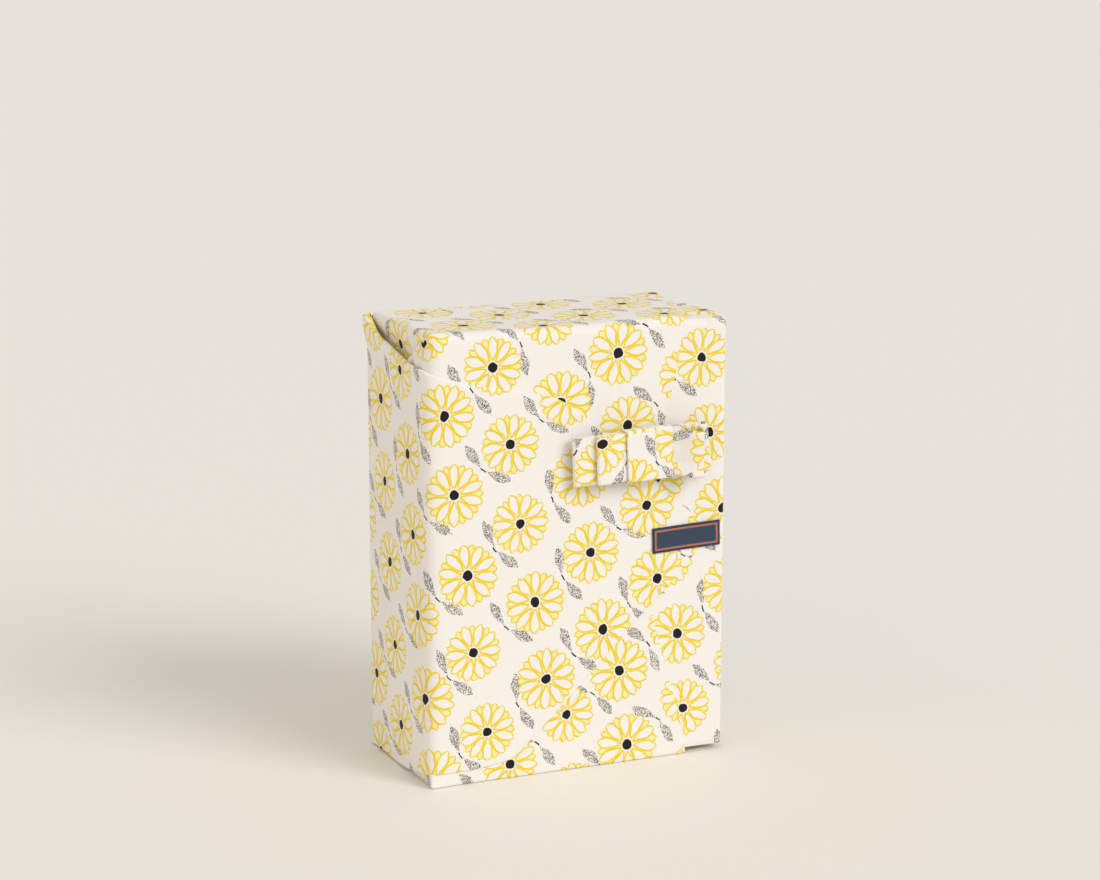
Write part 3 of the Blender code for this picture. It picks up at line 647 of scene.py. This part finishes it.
# second over first by share.
def mix(tree, share, first, second):
    node = tree.nodes.new("ShaderNodeMix")
    node.data_type = "RGBA"
    for index, value in ((0, share), (6, first), (7, second)):
        if isinstance(value, bpy.types.NodeSocket):
            tree.links.new(value, node.inputs[index])
        else:
            node.inputs[index].default_value = value
    return node.outputs[2]


# The print: round blossoms of outlined petals in a half-drop, and a pair of speckled leaves below each.
pattern = {
    "turn": math.radians(54),
    "column": 0.0405,
    "row": 0.0425,
    "petals": 10,
    "petalFrom": 0.0024,
    "petalTo": 0.0182,
    "petalHalf": 0.0036,
    "outline": 0.00125,
    "centre": 0.0029,
    "leafGap": 0.0014,
    "leafLong": 0.0165,
    "leafHalf": 0.0030,
    "ground": "#eeebe7",
    "petalLine": "#edd44a",
    "petalShade": "#e9cc38",
    "petalFill": "#f3e9b4",
    "dark": "#1c1416",
    "speckle": "#3a3436",
}


# Place inside the half-drop cell in metres, and the cell's own column and row numbers.
def cellPlace(tree, u, v, s, drop):
    across = calc(tree, "DIVIDE", u, s["column"])
    column = calc(tree, "FLOOR", across)
    odd = calc(tree, "FLOORED_MODULO", column, 2.0)
    lifted = calc(tree, "MULTIPLY_ADD", odd, 0.5, drop)
    upward = calc(tree, "ADD", calc(tree, "DIVIDE", v, s["row"]), lifted)
    row = calc(tree, "FLOOR", upward)
    x = calc(tree, "SUBTRACT", calc(tree, "FRACT", across), 0.5)
    y = calc(tree, "SUBTRACT", calc(tree, "FRACT", upward), 0.5)
    return calc(tree, "MULTIPLY", x, s["column"]), calc(tree, "MULTIPLY", y, s["row"]), column, row


def separate(tree, vector):
    node = tree.nodes.new("ShaderNodeSeparateXYZ")
    tree.links.new(vector, node.inputs[0])
    return node.outputs[0], node.outputs[1]


def turnedPlace(tree, x, y, angle):
    place = addNode(tree, "CombineXYZ", x, y, 0.0)
    return separate(tree, addNode(tree, "VectorRotate", place, None, None, angle, rotation_type="Z_AXIS"))


# 1 where value is under limit, fading to 0 over about soft metres.
def below(tree, value, limit, soft=0.00012):
    gap = calc(tree, "SUBTRACT", limit, value)
    return calc(tree, "MULTIPLY_ADD", gap, 1 / soft, 0.5, use_clamp=True)


# The sine of pi t^power, where t is 0 at start and 1 at end: a leaf's width by place along it.
def almond(tree, along, start, end, power):
    t = addNode(tree, "MapRange", along, start, end, 0.0, 1.0)
    return calc(tree, "SINE", calc(tree, "MULTIPLY", calc(tree, "POWER", t, power), math.pi))


# (inside the petal, inside its outline, side of its middle) for petals round a centre.
def petalShare(tree, radius, angle, s, start, end, halfWidth):
    sector = 2 * math.pi / s["petals"]
    fraction = calc(tree, "SUBTRACT", calc(tree, "FRACT", calc(tree, "DIVIDE", angle, sector)), 0.5)
    lean = calc(tree, "MULTIPLY", fraction, sector)
    aside = calc(tree, "MULTIPLY", radius, calc(tree, "SINE", lean))
    along = calc(tree, "MULTIPLY", radius, calc(tree, "COSINE", lean))
    bulge = calc(tree, "POWER", almond(tree, along, start, end, 1.5), 0.62)
    width = calc(tree, "MULTIPLY", bulge, halfWidth)
    across = calc(tree, "ABSOLUTE", aside)
    inner = calc(tree, "SUBTRACT", width, s["outline"])
    return below(tree, across, width), below(tree, across, inner), aside


# A new material, its node tree, its shader and the cloth's UV map.
def startMaterial(name, **settings):
    made = bpy.data.materials.new(name)
    made.use_nodes = True
    tree = made.node_tree
    shader = tree.nodes["Principled BSDF"]
    for key, value in settings.items():
        shader.inputs[key.replace("_", " ")].default_value = value
    return made, tree, shader, addNode(tree, "UVMap", uv_map="cloth")


def finishMaterial(tree, shader, colour, relief, strength, distance):
    tree.links.new(colour, shader.inputs["Base Color"])
    bump = tree.nodes.new("ShaderNodeBump")
    bump.inputs["Strength"].default_value = strength
    bump.inputs["Distance"].default_value = distance
    tree.links.new(relief, bump.inputs["Height"])
    tree.links.new(bump.outputs[0], shader.inputs["Normal"])


# A pair of leaves with a stem between them in each cell, half a row away from the blossoms.
def drawLeaves(tree, colour, u, v, uv, s):
    x, y, column, row = cellPlace(tree, u, v, s, 0.5)
    key = addNode(tree, "CombineXYZ", column, row, 7.0)
    chance = addNode(tree, "TexWhiteNoise", key, noise_dimensions="3D")
    lean = calc(tree, "MULTIPLY", calc(tree, "SUBTRACT", chance, 0.5), 0.8)
    x, y = turnedPlace(tree, x, y, lean)
    far = calc(tree, "ABSOLUTE", x)
    bent = calc(tree, "SUBTRACT", y, calc(tree, "MULTIPLY", far, 0.25))
    bulge = almond(tree, far, s["leafGap"], s["leafGap"] + s["leafLong"], 1.35)
    width = calc(tree, "MULTIPLY", bulge, s["leafHalf"])
    leaf = below(tree, calc(tree, "ABSOLUTE", bent), width, 0.0002)
    leaf = calc(tree, "MULTIPLY", leaf, calc(tree, "GREATER_THAN", far, s["leafGap"]))
    grain = addNode(tree, "TexVoronoi", uv, None, 2100.0, feature="F1")
    speck = addNode(tree, "MapRange", grain, 0.44, 0.58, 1.0, 0.0)
    leaf = calc(tree, "MULTIPLY", leaf, speck)
    colour = mix(tree, leaf, colour, toLinear(s["speckle"]))
    stem = below(tree, calc(tree, "ABSOLUTE", y), 0.0004)
    stem = calc(tree, "MULTIPLY", stem, below(tree, far, 0.0019))
    return mix(tree, stem, colour, toLinear(s["dark"]))


# A back ring of petals, the front ring over it, then the dark centre. Each blossom is turned,
# moved and sized a little differently.
def drawBlossoms(tree, colour, u, v, s):
    x, y, column, row = cellPlace(tree, u, v, s, 0.0)
    moved = tree.nodes.new("ShaderNodeTexWhiteNoise")
    tree.links.new(addNode(tree, "CombineXYZ", column, row, 3.0), moved.inputs[0])
    red, green = separate(tree, moved.outputs[1])
    shift = 0.004
    x = calc(tree, "SUBTRACT", calc(tree, "MULTIPLY_ADD", red, shift, x), shift / 2)
    y = calc(tree, "SUBTRACT", calc(tree, "MULTIPLY_ADD", green, shift, y), shift / 2)
    angle = calc(tree, "ARCTAN2", y, x)
    radius = calc(tree, "ADD", calc(tree, "MULTIPLY", x, x), calc(tree, "MULTIPLY", y, y))
    radius = calc(tree, "SQRT", radius)
    radius = calc(tree, "MULTIPLY", radius, calc(tree, "MULTIPLY_ADD", green, 0.14, 0.95))
    # About two whole turns are added, which keeps the angle above 0.
    turn = calc(tree, "MULTIPLY_ADD", moved.outputs[0], 0.6, 12.6)
    for start, end, half, phase in (
        (s["petalFrom"] + 0.004, s["petalTo"] - 0.0004, s["petalHalf"] * 0.8, math.pi / s["petals"]),
        (s["petalFrom"], s["petalTo"], s["petalHalf"], 0.0),
    ):
        turned = calc(tree, "ADD", angle, calc(tree, "ADD", turn, phase))
        petal, inside, side = petalShare(tree, radius, turned, s, start, end, half)
        line = mix(tree, below(tree, side, 0.0, 0.0004), toLinear(s["petalLine"]), toLinear(s["petalShade"]))
        filled = mix(tree, inside, line, toLinear(s["ground"] if phase == 0 else s["petalFill"]))
        colour = mix(tree, petal, colour, filled)
    colour = mix(tree, below(tree, radius, s["centre"] + 0.0008), colour, toLinear(s["ground"]))
    return mix(tree, below(tree, radius, s["centre"]), colour, toLinear(s["dark"]))


def buildPrint(name, s):
    made, tree, shader, uv = startMaterial(
        name, Roughness=0.85, Sheen_Weight=0.10, Sheen_Roughness=0.5, Specular_IOR_Level=0.25)
    # A hand-drawn wobble of about a third of a millimetre.
    wobble = addNode(tree, "TexNoise", uv, None, 210.0, 1.0, 0.5, out=1)
    shift = addNode(tree, "VectorMath", wobble, (0.5, 0.5, 0.5), operation="SUBTRACT")
    shift = addNode(tree, "VectorMath", shift, (0.0017, 0.0017, 0.0), operation="MULTIPLY")
    drawn = addNode(tree, "VectorMath", uv, shift, operation="ADD")
    drawn = addNode(tree, "VectorRotate", drawn, None, None, s["turn"], rotation_type="Z_AXIS")
    u, v = separate(tree, drawn)
    colour = drawLeaves(tree, toLinear(s["ground"]), u, v, uv, s)
    colour = drawBlossoms(tree, colour, u, v, s)
    # The weave: diagonal ribs about 1.3 mm apart, finer slubs, and soft unevenness.
    threads = addNode(tree, "TexWave", uv, 330.0, 1.2, 2.0,
                      wave_type="BANDS", bands_direction="DIAGONAL", out=1)
    slub = addNode(tree, "TexNoise", uv, None, 900.0, 2.0, 0.6)
    soft = addNode(tree, "TexNoise", uv, None, 45.0, 2.0, 0.5)
    relief = calc(tree, "MULTIPLY_ADD", threads, 0.45, calc(tree, "MULTIPLY", slub, 0.5))
    relief = calc(tree, "MULTIPLY_ADD", soft, 5.0, relief)
    finishMaterial(tree, shader, colour, relief, 0.35, 0.00018)
    return made


# Navy weave with a plain coral border line and a thin gold one inside it.
def buildLabelCloth(name, s):
    made, tree, shader, uv = startMaterial(name, Roughness=0.7, Sheen_Weight=0.15)
    along, up = separate(tree, uv)
    wide, tall = s["size"]
    fromSide = calc(tree, "SUBTRACT", wide / 2, calc(tree, "ABSOLUTE", along))
    fromTop = calc(tree, "SUBTRACT", tall / 2, calc(tree, "ABSOLUTE", up))
    rim = calc(tree, "MINIMUM", fromSide, fromTop)
    colour = toLinear(s["field"])
    for limit, code in s["borders"]:
        colour = mix(tree, below(tree, rim, limit, 0.0002), colour, toLinear(code))
    threads = addNode(tree, "TexWave", uv, 700.0, 0.6, 2.0, wave_type="BANDS", bands_direction="Y", out=1)
    finishMaterial(tree, shader, colour, threads, 0.5, 0.00015)
    return made


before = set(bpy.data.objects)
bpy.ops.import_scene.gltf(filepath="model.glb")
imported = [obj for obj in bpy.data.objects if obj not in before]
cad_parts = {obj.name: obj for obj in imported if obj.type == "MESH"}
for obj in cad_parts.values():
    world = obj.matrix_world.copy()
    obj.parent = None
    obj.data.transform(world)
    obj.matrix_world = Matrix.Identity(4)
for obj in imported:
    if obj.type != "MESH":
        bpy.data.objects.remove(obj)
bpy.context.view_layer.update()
cotton = buildPrint("printed cotton", pattern)
wrap = buildWrap()
print("wrap", len(wrap.data.vertices), "points")
lower, upper = bow["loops"]
pieces = [
    (wrap, "wrap_cloth", cotton, "printed_cotton"),
    (buildLoop(bow, lower, None), "bow_lower_loop", cotton, "printed_cotton"),
    (buildLoop(bow, upper, lower), "bow_upper_loop", cotton, "printed_cotton"),
    (buildBand(bow), "bow_band", cotton, "printed_cotton"),
    (buildLabel(label), "label", buildLabelCloth("navy woven label", label), "woven_label"),
]
for piece, node, material, slot in pieces:
    piece.data.materials.append(material)
    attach(piece, "root")
    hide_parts(node)
print("bow and label done")


# Turns a lamp or the camera so that its -Z looks at the target.
def aimed(obj, target):
    obj.rotation_euler = (Vector(target) - obj.location).to_track_quat("-Z", "Y").to_euler()


photoCamera = {
    "azimuth": -23.85,
    "elevation": 11.78,
    "target": (0.0033, 0, 0.1814),
    "distance": 1.5652,
    "sensor": 36,
    "lens": 90,
}


def buildCamera(s):
    azimuth, elevation = math.radians(s["azimuth"]), math.radians(s["elevation"])
    back = np.array([math.sin(azimuth) * math.cos(elevation),
                     -math.cos(azimuth) * math.cos(elevation), math.sin(elevation)])
    data = bpy.data.cameras.new("photo camera")
    data.sensor_width = s["sensor"]
    data.lens = s["lens"]
    camera = bpy.data.objects.new("photo camera", data)
    bpy.context.scene.collection.objects.link(camera)
    camera.location = np.array(s["target"]) + back * s["distance"]
    aimed(camera, s["target"])
    bpy.context.scene.camera = camera


# One broad soft light from the front and right, and a weak one from the left.
studio = {
    "floor": "#f1efea",
    "floorHalf": 40,
    "world": ("#fbf9f6", 0.62),
    "lightsAim": (0, 0, 0.12),
    "lights": (
        {"name": "key light", "place": (0.85, -1.5, 1.25), "power": 1.43, "spread": 32, "tint": "#fffdfb"},
        {"name": "fill light", "place": (-1.5, -0.6, 0.9), "power": 0.50, "spread": 70, "tint": "#ffe4bc"},
    ),
}


def buildStudio(s):
    floor = bpy.data.meshes.new("floor")
    half = s["floorHalf"]
    corners = [(-half, -half, 0), (half, -half, 0), (half, half, 0), (-half, half, 0)]
    floor.from_pydata(corners, [], [(0, 1, 2, 3)])
    floorObj = bpy.data.objects.new("floor", floor)
    bpy.context.scene.collection.objects.link(floorObj)
    paint = bpy.data.materials.new("pale floor")
    paint.use_nodes = True
    shader = paint.node_tree.nodes["Principled BSDF"]
    shader.inputs["Base Color"].default_value = toLinear(s["floor"])
    shader.inputs["Roughness"].default_value = 0.9
    floor.materials.append(paint)
    world = bpy.data.worlds.new("studio")
    bpy.context.scene.world = world
    world.use_nodes = True
    code, strength = s["world"]
    world.node_tree.nodes["Background"].inputs["Color"].default_value = toLinear(code)
    world.node_tree.nodes["Background"].inputs["Strength"].default_value = strength
    for light in s["lights"]:
        data = bpy.data.lights.new(light["name"], "SUN")
        data.energy = light["power"]
        data.angle = math.radians(light["spread"])
        data.color = toLinear(light["tint"])[:3]
        lamp = bpy.data.objects.new(light["name"], data)
        bpy.context.scene.collection.objects.link(lamp)
        lamp.location = light["place"]
        aimed(lamp, s["lightsAim"])


buildCamera(photoCamera)
buildStudio(studio)
print("camera and studio done")
bpy.context.scene.view_settings.view_transform = "Standard"
